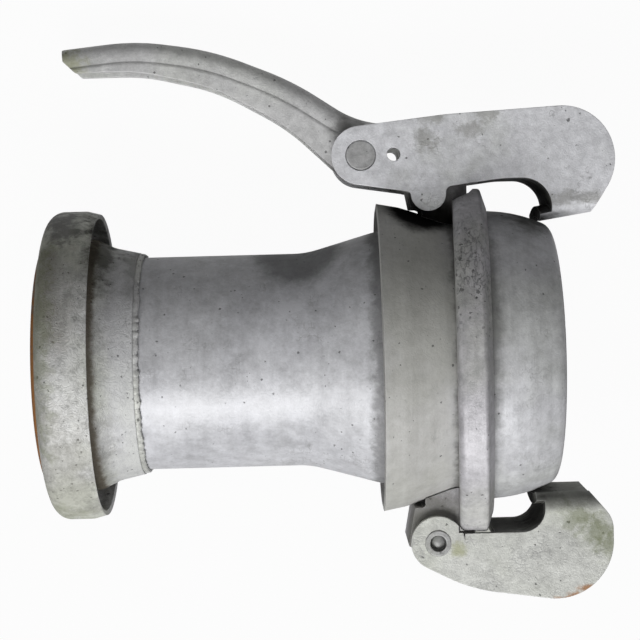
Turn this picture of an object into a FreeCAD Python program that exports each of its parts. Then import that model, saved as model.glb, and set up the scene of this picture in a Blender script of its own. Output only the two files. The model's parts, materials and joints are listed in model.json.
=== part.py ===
import FreeCAD, Part
import math
import os

# Irrigation pipe reducer with a lever-lock ball-and-socket coupling at each end.
# Millimetres. The pipe axis is X and the origin is the centre of the female mouth.
# Everything is drawn in the lever's plane, where u points from the axis to the lever
# and v along the hinge pins, and is then rolled about X to the way it lies at rest.

# Reducing tube, one expanded piece
SMALL_DIA = 139.7
LARGE_DIA = 168.3
TUBE_WALL = 4.0
TUBE_START = 36.0
CONE_START = 170.0
CONE_LENGTH = 50.5
WIDE_LENGTH = 47.5
CONE_BEND = 60.0

# Female bell: rises count outward from the outside of the narrow tube
BELL_SHEET = 3.0
BELL_FIT = 0.1
BELL_END = 60.7
BELL_SHOULDER = 44.0
BELL_SHOULDER_RISE = 5.4
BELL_SHOULDER_BEND = 25.0
SOCKET_DEPTH = 31.0
SOCKET_RISE = 10.15
SOCKET_BEND = 14.0

# Its rolled collar: rises count from the inside of the socket
COLLAR_START = 2.2
COLLAR_RISE = 21.3
COLLAR_FLAT_END = 27.0
COLLAR_END = 35.2
COLLAR_BEND = 10.0
COLLAR_CURL = 2.2

# Seal in the female mouth
SEAL_SECTION = 12.0
SEAL_PROUD = 2.0
SEAL_GAP = 0.05

# Male ball with its flared skirt, one pressed piece. Lengths count from the end of the
# wide tube, rises from its outside.
BALL_SHEET = 4.0
BALL_RISE = 10.55
BALL_OFFSET = 17.8
BALL_LENGTH = 62.5
BALL_MOUTH_STEP = 13.15
BALL_END_BEND = 6.5
BALL_CAP_ANGLE = 23.0
BALL_SHOULDER = 13.0
BALL_SHOULDER_BEND = 5.0
NECK_FIT = 0.15
NECK_FRONT = 6.0
NECK_BACK = 8.0
NECK_BEND = 20.0
SKIRT_LENGTH = 51.2
SKIRT_RISE = 17.15
FLARE_LENGTH = 37.0
FLARE_RISE = 14.45
FLARE_BEND = 30.0

# Weld beads
BEAD = 3.4
BEAD_SINK = 1.0
BEAD_ROUND = 0.8
LUG_BEAD_RISE = 3.5
LUG_BEAD_LENGTH = 9.0

# Closure ring, loose on the neck: it hangs a little low and stands askew
RING_OFFSET = 0.8
RING_WIDTH = 22.4
RING_FACE = 17.9
RING_LIP_PLAY = 3.7
RING_LIP = 3.5
RING_BORE_PLAY = 4.1
RING_DEPTH = 14.1
RING_CONE_END = 11.0
RING_EDGE = 5.0
RING_SHOULDER = 2.5
RING_LIP_ROUND = 0.8
RING_BACK_ROUND = 1.2
RING_SEAT_GAP = 0.3
RING_YAW_ANGLE = 3.4

# Slanting flat on the ring's rim where the lever's lug is let in
NOTCH_DEPTH = 8.6
NOTCH_LENGTH = 10.8
NOTCH_STEP = 3.0

# Stack of sheets along the hinge pins, from the outside in
HOOK_WIDTH = 69.0
HOOK_SHEET = 5.0
SIDE_GAP = 0.6
LEVER_SHEET = 4.5
LUG_SHEET = 5.0

# Pins
PIN_FIT = 0.08
LEVER_PIN_DIA = 14.0
LEVER_PIN_SHORT = 1.4
HOOK_PIN_DIA = 19.5
HOOK_PIN_SUNK = 0.3
HOOK_PIN_CHAMFER = 0.8
COUNTER_PIN_DIA = 16.4
COUNTER_PIN_PROUD = 0.7
COUNTER_RECESS_DIA = 10.6
COUNTER_RECESS_DEPTH = 6.0
COUNTER_STEM_DIA = 8.6
COUNTER_STEM_SUNK = 2.6
COUNTER_DOME_RISE = 1.8

# Reference lines: the end of the wide tube, the ball, and the ring's place and rim
TUBE_END = CONE_START + CONE_LENGTH + WIDE_LENGTH
COLLAR_DIA = SMALL_DIA + 2 * (SOCKET_RISE + COLLAR_RISE)
SOCKET_DIA = SMALL_DIA + 2 * SOCKET_RISE
BALL_CENTRE = TUBE_END + BALL_OFFSET
BALL_DIA = LARGE_DIA + 2 * BALL_RISE
RING_START = TUBE_END - RING_OFFSET
RING_DROP = RING_LIP_PLAY - RING_SEAT_GAP
RING_BORE = BALL_DIA / 2 + RING_BORE_PLAY
RIM = RING_BORE + RING_DEPTH

# Hinge points in the lever's plane
LEVER_PIVOT = (TUBE_END - 16.5, RIM + 5.8)
HOOK_PIVOT = (LEVER_PIVOT[0] - 44.3, LEVER_PIVOT[1] + 13.1)
COUNTER_PIVOT = (TUBE_END - 17.1, -RIM - 6.4)

# Lever hook
HOOK_EYE_R = 18.9
HOOK_THROAT = RIM + 2.0
HOOK_THROAT_BEND = 19.0
HOOK_BACK_X = TUBE_END + 101.9
HOOK_BACK_R = 33.8
HOOK_BACK_HIGH = HOOK_THROAT + 47.1
HOOK_BACK_LOW = HOOK_THROAT + 1.5
HOOK_SHOULDER = (TUBE_END - 6.0, HOOK_THROAT + 41.7)
HOOK_SHOULDER_BEND = 150.0
HOOK_HEEL = (TUBE_END + 85.8, RIM - 22.4)
HOOK_HEEL_ROUND = 3.0
HOOK_NOSE_X = TUBE_END + 61.0
HOOK_NOSE_LOW = RIM - 32.9
HOOK_THROAT_START = TUBE_END + 30.0
HOOK_THROAT_EASE = 60.0
HOOK_WEB_START = TUBE_END + 19.0
HOOK_LIP_X = TUBE_END + 53.5
HOOK_LIP_THICK = 7.0
HOOK_SEAT_GAP = 2.2
HOOK_SEAT_SLOPE = 0.155
HOOK_NOSE_ROUND = 11.0
LOBE_X = TUBE_END - 18.0
LOBE_R = 11.3
LOBE_DROP = 19.7
LOBE_NECK = 4.5
LOBE_FILLET = 4.0
LOBE_STEP = 7.3
LOBE_LEFT_FILLET = 2.4
LOCK_HOLE = (HOOK_PIVOT[0] + 21.1, HOOK_PIVOT[1] + 0.2)
LOCK_HOLE_DIA = 8.6

# Counter hook
COUNTER_EYE_R = 17.4
COUNTER_THROAT = -RIM - 0.5
COUNTER_THROAT_BEND = 15.0
COUNTER_BACK_X = TUBE_END + 96.2
COUNTER_BACK_R = 37.5
COUNTER_BACK_LOW = COUNTER_THROAT - 49.4
COUNTER_BACK_HIGH = COUNTER_THROAT + 7.4
COUNTER_BACK_EASE = 18.0
COUNTER_BELLY = (TUBE_END + 3.0, COUNTER_THROAT - 36.0)
COUNTER_BELLY_BEND = 100.0
COUNTER_WEB_START = TUBE_END + 20.0
COUNTER_NOSE_X = TUBE_END + 52.5
COUNTER_NOSE_LOW = -RIM + 32.9
COUNTER_HEEL = (TUBE_END + 82.1, COUNTER_THROAT + 24.4)
COUNTER_HEEL_ROUND = 2.5
COUNTER_LIP_X = TUBE_END + 47.2
COUNTER_SEAT_GAP = 2.0
RING_GAP = 0.5
RING_SIDE_GAP = 2.8

# Lugs that carry the hinge pins
LUG_CLEARANCE = 0.8
LEVER_LUG_LENGTH = 32.9
COUNTER_LUG_LENGTH = 35.1
LUG_SLANT = 4.7
LUG_TOE_RISE = 2.1
LUG_TOE_ROUND = 1.0
LUG_OUTER = 12.5
LUG_OUTER_RUN = 20.0
LUG_OUTER_BEND = 8.0
LUG_SADDLE = 8.0
LUG_SADDLE_BEND = 3.0
LUG_NOTCH_LENGTH = 6.8
LUG_NOTCH_SINK = 16.2
LUG_NOTCH_ROUND = 2.4

# Lever: its outlines are runs of (x, u, bend) counted from its own pivot
LEVER_WIDTH = HOOK_WIDTH - 2 * (HOOK_SHEET + SIDE_GAP)
LEVER_HANDLE_WIDTH = 42.0
LEVER_ROUND = 10.0
LEVER_EYE_R = 14.5
LEVER_CREASE = 12.0
LEVER_CREASE_STEP = 1.0
LEVER_CREASE_ROUND = 3.5
LEVER_FLARE = (-111.5, -53.5)
LEVER_FLARE_BEND = 60.0
LEVER_RUN_ON = 40.0
LEVER_TIP = (-236.4, 87.6, 1.5)
LEVER_WEB_END = (-29.5, 33.5, 0.0)
LEVER_KNEE = (-19.5, 31.5, 12.0)
LEVER_BACK = [
    (-188.7, 92.4, 150.0),
    (-139.0, 84.9, 180.0),
    (-88.0, 64.0, 190.0),
    (-48.8, 37.4, 60.0),
]
LEVER_BELLY = [
    (-38.5, -5.1, 30.0),
    (-54.3, -1.2, 12.0),
    (-91.8, 34.3, 130.0),
    (-138.1, 60.3, 130.0),
    (-186.1, 71.8, 120.0),
    (-227.6, 71.8, 2.0),
    (-235.3, 79.2, 1.5),
]

# Where the lever's back touches the ground, counted from the lever's pivot
REST_PLACE = (-191.5, 92.2)

# Longer than anything here, a little overlap for cuts that pass through, and a hair
FAR = RIM + HOOK_BACK_X
PAST = 1.0
HAIR = 0.01
AXIS = FreeCAD.Vector(1, 0, 0)


def vec(x, u, v=0.0):
    return FreeCAD.Vector(x, u, v)


def rounded(corners):
    """Closed wire in the lever's plane from corners (x, u, radius)."""
    ends = []
    count = len(corners)
    for i in range(count):
        x, u, radius = corners[i]
        here = vec(x, u)
        before = vec(*corners[i - 1][:2])
        after = vec(*corners[(i + 1) % count][:2])
        back = (before - here).normalize()
        ahead = (after - here).normalize()
        half = back.getAngle(ahead) / 2
        if radius == 0:
            ends.append((here, None, here))
            continue
        run = radius / math.tan(half)
        middle = (back + ahead).normalize()
        mid = here + middle * (radius / math.sin(half) - radius)
        ends.append((here + back * run, mid, here + ahead * run))
    edges = []
    for i in range(count):
        start, mid, end = ends[i]
        if mid is not None:
            edges.append(Part.Arc(start, mid, end).toShape())
        following = ends[(i + 1) % count][0]
        if (following - end).Length > HAIR / 10:
            edges.append(Part.LineSegment(end, following).toShape())
    return Part.Wire(edges)


def offset_line(corners, distance):
    """Corners of an open line moved to its left by a distance, bends kept concentric."""
    moved = []
    last = len(corners) - 1
    for i, (x, u, radius) in enumerate(corners):
        here = vec(x, u)
        ahead = vec(*corners[min(i + 1, last)][:2]) - vec(*corners[min(i + 1, last) - 1][:2])
        behind = vec(*corners[max(i, 1)][:2]) - vec(*corners[max(i, 1) - 1][:2])
        ahead.normalize()
        behind.normalize()
        turn = math.atan2(behind.x * ahead.y - behind.y * ahead.x, behind.dot(ahead))
        along = (ahead + behind).normalize()
        left = vec(-along.y, along.x)
        here = here + left * (distance / math.cos(turn / 2))
        side = 1 if turn > 0 else -1
        new_radius = 0 if radius == 0 else max(radius - side * distance, 10 * HAIR)
        moved.append((here.x, here.y, new_radius))
    return moved


def sheet_section(line, thickness):
    """Corners of a bent sheet's section, from the corners of its middle line."""
    left = offset_line(line, thickness / 2)
    right = offset_line(line, -thickness / 2)
    return left + right[::-1]


def turned(corners):
    """Solid turned about the pipe axis from a section (x, radius, corner radius)."""
    face = Part.Face(rounded(corners))
    return face.revolve(vec(0, 0), AXIS, 360)


def plate(corners, v_low, v_high):
    """Flat plate of an outline in the lever's plane, between two heights along the pins."""
    face = Part.Face(rounded(corners))
    face.translate(vec(0, 0, v_low))
    return face.extrude(vec(0, 0, v_high - v_low))


def block(x_low, x_high, u_low, u_high, half):
    """Plain box, as wide to either side of the lever's plane."""
    size = (x_high - x_low, u_high - u_low, 2 * half)
    return Part.makeBox(*size, vec(x_low, u_low, -half))


def pin(point, dia, v_low, v_high):
    return Part.makeCylinder(dia / 2, v_high - v_low, vec(point[0], point[1], v_low), vec(0, 0, 1))


def hole(point, dia):
    return pin(point, dia, -FAR, FAR)


def disc(radius, x_low, x_high):
    return Part.makeCylinder(radius, x_high - x_low, vec(x_low, 0), AXIS)


def eye_corner(centre, radius, point, x_side, upper):
    """Corner that makes an outline run round an eye: where the line from a point,
    tangent to the eye, meets the upright tangent at the eye's end."""
    dx = centre[0] - point[0]
    du = centre[1] - point[1]
    reach = math.hypot(dx, du)
    swing = math.asin(radius / reach)
    side = 1 if (upper == (x_side < 0)) else -1
    angle = math.atan2(du, dx) - side * swing
    x_end = centre[0] + x_side * radius
    return (x_end, point[1] + math.tan(angle) * (x_end - point[0]), radius)


def hang(shape):
    """Put a shape that is drawn round the pipe axis where the loose ring hangs."""
    shape.rotate(vec(RING_START + RING_WIDTH / 2, 0), vec(0, 1), -RING_YAW_ANGLE)
    shape.translate(vec(0, -RING_DROP))
    return shape


def reducer_tube():
    mid_small = (SMALL_DIA - TUBE_WALL) / 2
    mid_large = (LARGE_DIA - TUBE_WALL) / 2
    line = [
        (TUBE_START, mid_small, 0),
        (CONE_START, mid_small, CONE_BEND),
        (CONE_START + CONE_LENGTH, mid_large, CONE_BEND),
        (TUBE_END, mid_large, 0),
    ]
    return turned(sheet_section(line, TUBE_WALL))


def bell_line():
    """Middle line of the bell's sheet, from its tail to the collar's free edge."""
    tube = SMALL_DIA / 2
    tail = tube + BELL_FIT + BELL_SHEET / 2
    socket = (SOCKET_DIA + BELL_SHEET) / 2
    collar = (COLLAR_DIA - BELL_SHEET) / 2
    roll = (collar - socket) / 2 - HAIR
    front = COLLAR_START + BELL_SHEET / 2
    return [
        (BELL_END, tail, 0),
        (BELL_SHOULDER, tube + BELL_SHOULDER_RISE, BELL_SHOULDER_BEND),
        (SOCKET_DEPTH, socket, SOCKET_BEND),
        (front, socket, roll),
        (front, collar, roll),
        (COLLAR_FLAT_END, collar, COLLAR_BEND),
        (COLLAR_END, collar - COLLAR_CURL, 0),
    ]


def female_bell():
    return turned(sheet_section(bell_line(), BELL_SHEET))


def seal_ring():
    """Round rubber ring that lies against the inside of the collar's roll."""
    front, socket, roll = bell_line()[3]
    lip_r = roll + BELL_SHEET / 2
    lip_x = front + roll
    lip_u = socket + roll
    section = SEAL_SECTION / 2
    x = section - SEAL_PROUD
    u = lip_u - math.sqrt((lip_r + section + SEAL_GAP) ** 2 - (lip_x - x) ** 2)
    return Part.makeTorus(u, section, vec(x, 0), AXIS)


def ball_line():
    """Middle line of the male ball's sheet, from the skirt's lip to the ball's mouth."""
    tube = LARGE_DIA / 2
    neck = tube + NECK_FIT + BALL_SHEET / 2
    ball = (BALL_DIA - BALL_SHEET) / 2
    cap = math.radians(BALL_CAP_ANGLE)
    # The corner whose round is the ball itself, centred on the axis
    peak_x = BALL_CENTRE + ball * math.tan(cap / 2)
    end_x = TUBE_END + BALL_LENGTH - BALL_SHEET / 2
    end_u = ball - math.tan(cap) * (end_x - peak_x)
    return [
        (TUBE_END - SKIRT_LENGTH, tube + SKIRT_RISE - BALL_SHEET / 2, 0),
        (TUBE_END - FLARE_LENGTH, tube + FLARE_RISE - BALL_SHEET / 2, FLARE_BEND),
        (TUBE_END - NECK_FRONT, neck, NECK_BEND),
        (TUBE_END + NECK_BACK, neck, BALL_SHOULDER_BEND),
        (TUBE_END + BALL_SHOULDER, ball, BALL_SHOULDER_BEND),
        (peak_x, ball, ball),
        (end_x, end_u, BALL_END_BEND),
        (end_x, tube - BALL_MOUTH_STEP, 0),
    ]


def male_ball():
    return turned(sheet_section(ball_line(), BALL_SHEET))


def ball_radius(x):
    """Outer radius of the ball at a place along the pipe."""
    return math.sqrt((BALL_DIA / 2) ** 2 - (x - BALL_CENTRE) ** 2)


def neck_room():
    """The skirt and neck made solid and larger by a clearance, for what comes close."""
    outside = offset_line(ball_line()[:4], BALL_SHEET / 2 + LUG_CLEARANCE)
    core = LARGE_DIA / 4
    return turned(outside + [(outside[-1][0], core, 0), (outside[0][0], core, 0)])


def bell_weld():
    low = SMALL_DIA / 2
    high = low + BELL_FIT + BELL_SHEET
    return turned([(BELL_END, low, 0), (BELL_END, high, BEAD_ROUND), (BELL_END + BEAD, low, 0)])


def ball_weld():
    high = LARGE_DIA / 2 + NECK_FIT
    low = high - BEAD
    return turned([(TUBE_END, high, 0), (TUBE_END, low, BEAD_ROUND), (TUBE_END + BEAD, high, 0)])


def neck_weld():
    low = LARGE_DIA / 2
    neck = TUBE_END - NECK_FRONT
    tip = neck - BEAD
    bead = turned([(tip - BEAD, low, 0), (tip, low + BEAD, BEAD_ROUND), (neck, low, 0)])
    return bead.cut(male_ball())


def ring_section():
    lip = LARGE_DIA / 2 + NECK_FIT + BALL_SHEET + RING_LIP_PLAY
    return [
        (RING_START, lip, RING_LIP_ROUND),
        (RING_START + RING_LIP, lip, RING_LIP_ROUND),
        (RING_START + RING_CONE_END, RING_BORE, RING_SHOULDER),
        (RING_START + RING_WIDTH, RING_BORE, RING_BACK_ROUND),
        (RING_START + RING_FACE, RIM, RING_SHOULDER),
        (RING_START, RIM, RING_EDGE),
    ]


def notched(shape):
    """Cut the slanting flat into the ring's rim where the lever's lug is let in."""
    end = RING_START + NOTCH_LENGTH
    floor = RIM - NOTCH_STEP
    waste = [
        (RING_START - PAST, RIM - NOTCH_DEPTH, 0),
        (end, floor, 0),
        (end + NOTCH_STEP + PAST, RIM + PAST, 0),
        (RING_START - PAST, RIM + PAST, 0),
    ]
    return shape.cut(plate(waste, -RIM, RIM))


def closure_ring():
    return hang(notched(turned(ring_section())))


def ring_blank():
    """The ring with no hole, for what is cut to sit on it."""
    return hang(notched(disc(RIM, RING_START, RING_START + RING_WIDTH)))


def lug(sign, pivot, half_width, length):
    """Strap lug, bent round at the pipe side and welded to the ring by both legs."""
    root = sign * LARGE_DIA / 3
    outer = pivot[1] + sign * LUG_OUTER
    right = RING_START + LUG_SADDLE
    toe_x = RING_START - length
    left = toe_x + LUG_SLANT
    notch_x = left + LUG_NOTCH_LENGTH
    notch_u = sign * (RIM - LUG_NOTCH_SINK)
    outline = [
        (right, root, 0),
        (notch_x, root, 0),
        (notch_x, notch_u, LUG_NOTCH_ROUND),
        (left, notch_u, 0),
        (toe_x, pivot[1] + sign * LUG_TOE_RISE, LUG_TOE_ROUND),
        (toe_x + LUG_OUTER_RUN, outer, LUG_OUTER_BEND),
        (right, outer, LUG_SADDLE_BEND),
    ]
    body = plate(outline, -half_width, half_width)
    body = body.cut(block(left + LUG_SHEET, FAR, -FAR, FAR, half_width - LUG_SHEET))
    return body.cut(ring_blank()).cut(neck_room())


def lever_lug():
    body = lug(1, LEVER_PIVOT, LEVER_WIDTH / 2 - LEVER_SHEET - SIDE_GAP, LEVER_LUG_LENGTH)
    return body.cut(hole(LEVER_PIVOT, LEVER_PIN_DIA))


def counter_lug():
    body = lug(-1, COUNTER_PIVOT, LEVER_WIDTH / 2, COUNTER_LUG_LENGTH)
    return body.cut(hole(COUNTER_PIVOT, COUNTER_PIN_DIA))


def lug_beads(sign, half_width):
    """Fillet beads in the corners between a lug's legs and the ring's left face."""
    inside = half_width - LUG_SHEET
    lip = LARGE_DIA / 2 + NECK_FIT + BALL_SHEET + RING_LIP_PLAY
    low = sign * (lip + LUG_BEAD_RISE) - RING_DROP
    face_x = RING_START + BEAD_SINK
    beads = []
    for side in (-1, 1):
        root = vec(face_x, low, side * inside)
        on_leg = vec(face_x - BEAD - BEAD_SINK, low, side * inside)
        on_ring = vec(face_x, low, side * (inside - BEAD))
        face = Part.Face(Part.makePolygon([root, on_leg, on_ring, root]))
        bead = face.extrude(vec(0, sign * LUG_BEAD_LENGTH))
        beads.append(bead.cut(ring_blank()))
    return Part.makeCompound(beads)


def lever_lug_welds():
    return lug_beads(1, LEVER_WIDTH / 2 - LEVER_SHEET - SIDE_GAP)


def counter_lug_welds():
    return lug_beads(-1, LEVER_WIDTH / 2)


def seat_cone(radius, slope, x_low, x_high, x_lip):
    """Cone about the pipe axis, of a radius at the nose's lip: the seat under a nose."""
    if slope == 0:
        return disc(radius, x_low, x_high)
    low = radius - slope * (x_lip - x_low)
    high = radius + slope * (x_high - x_lip)
    return Part.makeCone(low, high, x_high - x_low, vec(x_low, 0), AXIS)


def nose_rounding(sign, radius, slope, x_low, x_lip):
    """What is taken off a nose so that its long edges are rounded."""
    half = HOOK_WIDTH / 2
    flat = half - HOOK_NOSE_ROUND
    length = HOOK_BACK_X - x_low
    base = math.sqrt(radius ** 2 - flat ** 2) - slope * (x_lip - x_low)
    bend = HOOK_NOSE_ROUND * (1 - math.sqrt(0.5))
    waste = []
    for side in (-1, 1):
        top = vec(x_low, sign * (base + HOOK_NOSE_ROUND), side * half)
        bottom = vec(x_low, sign * base, side * flat)
        mid = vec(x_low, sign * (base + bend), side * (half - bend))
        out = vec(x_low, sign * (base - HOOK_NOSE_ROUND), side * flat)
        far = vec(x_low, sign * (base - HOOK_NOSE_ROUND), side * (half + PAST))
        away = vec(x_low, sign * (base + HOOK_NOSE_ROUND), side * (half + PAST))
        arc = Part.Arc(top, mid, bottom).toShape()
        rest = Part.makePolygon([bottom, out, far, away, top])
        face = Part.Face(Part.Wire([arc] + rest.Edges))
        waste.append(face.extrude(vec(length, sign * slope * length, 0)))
    return waste


def nosed(body, sign, lip, nose_x, gap, slope, inner):
    """Give a hook its dished nose over the ball, and hollow it to a bent sheet."""
    half = HOOK_WIDTH / 2
    reach = HOOK_BACK_X + HOOK_SHEET
    seat_r = ball_radius(lip) + gap
    roof_r = seat_r + HOOK_LIP_THICK
    start = lip - HOOK_SHEET
    seat = seat_cone(seat_r, slope, start, reach, lip)
    roof = seat_cone(roof_r, slope, lip, reach, lip)
    side = block(lip, nose_x + PAST, min(0, sign * FAR), max(0, sign * FAR), half)
    body = body.fuse(side.common(roof)).cut(seat)
    body = body.cut(plate(inner, HOOK_SHEET - half, half - HOOK_SHEET).cut(roof))
    for waste in nose_rounding(sign, seat_r, slope, start, lip):
        body = body.cut(waste)
    return body


def channel(sign, start, throat, nose_x, bend):
    """Outline of what lies beyond a hook's web, on both sides of its nose."""
    web = HOOK_SHEET
    low = sign * RIM / 2
    return [
        (start, low, 0),
        (start, throat + sign * web, 0),
        (nose_x + web, throat + sign * web, bend + web),
        (nose_x + web, low, 0),
        (FAR, low, 0),
        (FAR, sign * FAR, 0),
        (0, sign * FAR, 0),
        (0, low, 0),
    ]


def lever_hook():
    half = HOOK_WIDTH / 2
    throat = HOOK_THROAT
    lobe_left = LOBE_X - LOBE_R
    lobe_right = LOBE_X + LOBE_R
    lobe_u = throat - LOBE_DROP
    low_left = (lobe_left, throat - LOBE_STEP)
    outline = [
        eye_corner(HOOK_PIVOT, HOOK_EYE_R, HOOK_SHOULDER, -1, True),
        (HOOK_SHOULDER[0], HOOK_SHOULDER[1], HOOK_SHOULDER_BEND),
        (HOOK_BACK_X, HOOK_BACK_HIGH, HOOK_BACK_R),
        (HOOK_BACK_X, HOOK_BACK_LOW, HOOK_BACK_R),
        (HOOK_HEEL[0], HOOK_HEEL[1], HOOK_HEEL_ROUND),
        (HOOK_NOSE_X, HOOK_NOSE_LOW, 0),
        (HOOK_NOSE_X, throat, HOOK_THROAT_BEND),
        (HOOK_THROAT_START, throat, HOOK_THROAT_EASE),
        (lobe_right, throat - LOBE_NECK, LOBE_FILLET),
        (lobe_right, lobe_u, LOBE_R),
        (lobe_left, lobe_u, LOBE_R),
        (low_left[0], low_left[1], LOBE_LEFT_FILLET),
        eye_corner(HOOK_PIVOT, HOOK_EYE_R, low_left, -1, False),
    ]
    inner = channel(1, HOOK_WEB_START, throat, HOOK_NOSE_X, HOOK_THROAT_BEND)
    body = plate(outline, -half, half)
    body = nosed(body, 1, HOOK_LIP_X, HOOK_NOSE_X, HOOK_SEAT_GAP, HOOK_SEAT_SLOPE, inner)
    body = body.cut(hole(HOOK_PIVOT, HOOK_PIN_DIA + 2 * PIN_FIT))
    return body.cut(hole(LOCK_HOLE, LOCK_HOLE_DIA)).removeSplitter()


def counter_hook():
    half = HOOK_WIDTH / 2
    throat = COUNTER_THROAT
    eye_x, eye_u = COUNTER_PIVOT
    outline = [
        (eye_x - COUNTER_EYE_R, eye_u + COUNTER_EYE_R, COUNTER_EYE_R),
        (eye_x + COUNTER_EYE_R, eye_u + COUNTER_EYE_R, COUNTER_EYE_R),
        (eye_x + COUNTER_EYE_R, throat, 0),
        (COUNTER_NOSE_X, throat, COUNTER_THROAT_BEND),
        (COUNTER_NOSE_X, COUNTER_NOSE_LOW, 0),
        (COUNTER_HEEL[0], COUNTER_NOSE_LOW, 0),
        (COUNTER_HEEL[0], COUNTER_HEEL[1], COUNTER_HEEL_ROUND),
        (COUNTER_BACK_X, COUNTER_BACK_HIGH, COUNTER_BACK_EASE),
        (COUNTER_BACK_X, COUNTER_BACK_LOW, COUNTER_BACK_R),
        (COUNTER_BELLY[0], COUNTER_BELLY[1], COUNTER_BELLY_BEND),
        eye_corner(COUNTER_PIVOT, COUNTER_EYE_R, COUNTER_BELLY, -1, False),
    ]
    inner = channel(-1, COUNTER_WEB_START, throat, COUNTER_NOSE_X, COUNTER_THROAT_BEND)
    body = plate(outline, -half, half)
    clear_u = -math.sqrt(RIM ** 2 - (half - HOOK_SHEET) ** 2) - RING_DROP - RING_GAP
    start = RING_START - RING_SIDE_GAP
    end = RING_START + RING_WIDTH + RING_SIDE_GAP
    body = body.cut(block(start, end, clear_u, 0, half))
    body = nosed(body, -1, COUNTER_LIP_X, COUNTER_NOSE_X, COUNTER_SEAT_GAP, 0, inner)
    return body.cut(hole(COUNTER_PIVOT, COUNTER_PIN_DIA + 2 * PIN_FIT)).removeSplitter()


def from_pivot(corner):
    """A corner of the lever, given from its pivot, in its place."""
    return (LEVER_PIVOT[0] + corner[0], LEVER_PIVOT[1] + corner[1], corner[2])


def lever_back():
    """The lever's upper edge, from the tip to where its web ends."""
    return [from_pivot(corner) for corner in [LEVER_TIP] + LEVER_BACK + [LEVER_WEB_END]]


def lever_plan(inset):
    """Plan of the lever, narrower at the handle than at the hinge."""
    wide = LEVER_WIDTH / 2 - inset
    slim = LEVER_HANDLE_WIDTH / 2 - inset
    start = LEVER_PIVOT[0] + LEVER_FLARE[0]
    end = LEVER_PIVOT[0] + LEVER_FLARE[1]
    bend = LEVER_FLARE_BEND
    half = [(-FAR, slim, 0), (start, slim, bend), (end, wide, bend), (FAR, wide, 0)]
    mirrored = [(x, -v, radius) for x, v, radius in half[::-1]]
    solid = Part.Face(rounded(half + mirrored)).extrude(vec(0, 0, 2 * FAR))
    solid.rotate(vec(0, 0), AXIS, 90)
    solid.translate(vec(0, FAR))
    return solid


def folded_bar(line, inset, radius):
    """All below an upper line, run on past both ends, with its long edges rounded."""
    run = LEVER_RUN_ON
    x_tip, u_tip, _ = line[0]
    x_next, u_next, _ = line[1]
    x_last, u_last, _ = line[-2]
    x_end, u_end, _ = line[-1]
    tip_slope = (u_next - u_tip) / (x_next - x_tip)
    end_slope = (u_end - u_last) / (x_end - x_last)
    first = (x_tip - run, u_tip - run * tip_slope, 0)
    final = (x_end + run, u_end + run * end_slope, 0)
    corners = [first] + line[1:-1] + [final, (final[0], 0, 0), (first[0], 0, 0)]
    solid = plate(corners, -FAR, FAR).common(lever_plan(inset))
    folds = []
    for edge in solid.Edges:
        box = edge.BoundBox
        if box.XLength > PAST and box.YMin > u_end / 2:
            folds.append(edge)
    return solid.makeFillet(radius, folds)


def lever():
    """Pressed channel: its sides swell below a soft crease, and run on as a fork."""
    wide = LEVER_WIDTH / 2
    sheet = LEVER_SHEET
    step = LEVER_CREASE_STEP
    back = lever_back()
    knee = from_pivot(LEVER_KNEE)
    belly = [from_pivot(corner) for corner in LEVER_BELLY]
    outline = back[:-1] + [
        knee,
        eye_corner(LEVER_PIVOT, LEVER_EYE_R, knee, 1, True),
        eye_corner(LEVER_PIVOT, LEVER_EYE_R, belly[0], 1, False),
    ]
    crease = offset_line(back, -LEVER_CREASE)
    body = folded_bar(back, step, LEVER_ROUND)
    body = body.fuse(folded_bar(crease, 0, LEVER_CREASE_ROUND))
    body = body.common(plate(outline + belly, -wide, wide))
    roof = offset_line(back, -sheet)
    tip = back[0][0] + sheet
    web_end = back[-1][0]
    hollow = folded_bar(roof, sheet + step, LEVER_ROUND - sheet)
    body = body.cut(hollow.common(block(tip, web_end, 0, FAR, wide)))
    body = body.cut(block(web_end - HAIR, FAR, 0, FAR, wide - sheet))
    for point, dia in (
        (LEVER_PIVOT, LEVER_PIN_DIA + 2 * PIN_FIT),
        (HOOK_PIVOT, HOOK_PIN_DIA),
        (LOCK_HOLE, LOCK_HOLE_DIA),
    ):
        body = body.cut(hole(point, dia))
    return body.removeSplitter()


def lever_pin():
    half = LEVER_WIDTH / 2 - LEVER_PIN_SHORT
    return pin(LEVER_PIVOT, LEVER_PIN_DIA, -half, half)


def hook_pin():
    half = HOOK_WIDTH / 2 - HOOK_PIN_SUNK
    body = pin(HOOK_PIVOT, HOOK_PIN_DIA, -half, half)
    rims = [edge for edge in body.Edges if edge.BoundBox.ZLength < HAIR]
    return body.makeChamfer(HOOK_PIN_CHAMFER, rims)


def counter_pin():
    """Riveted pin: a domed stem shows in a recess at either end."""
    half = HOOK_WIDTH / 2 + COUNTER_PIN_PROUD
    body = pin(COUNTER_PIVOT, COUNTER_PIN_DIA, -half, half)
    floor = half - COUNTER_RECESS_DEPTH
    top = half - COUNTER_STEM_SUNK
    stem_r = COUNTER_STEM_DIA / 2
    dome = (stem_r ** 2 + COUNTER_DOME_RISE ** 2) / (2 * COUNTER_DOME_RISE)
    x, u = COUNTER_PIVOT
    for side in (-1, 1):
        low, high = sorted((side * floor, side * half))
        recess = pin(COUNTER_PIVOT, COUNTER_RECESS_DIA, low, high)
        stem = pin(COUNTER_PIVOT, COUNTER_STEM_DIA, low, high)
        ball = Part.makeSphere(dome, vec(x, u, side * (top - dome)))
        shank_low, shank_high = sorted((side * floor, side * (top - COUNTER_DOME_RISE)))
        shank = pin(COUNTER_PIVOT, COUNTER_STEM_DIA, shank_low, shank_high)
        body = body.cut(recess.cut(stem.common(ball).fuse(shank)))
    return body


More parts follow.
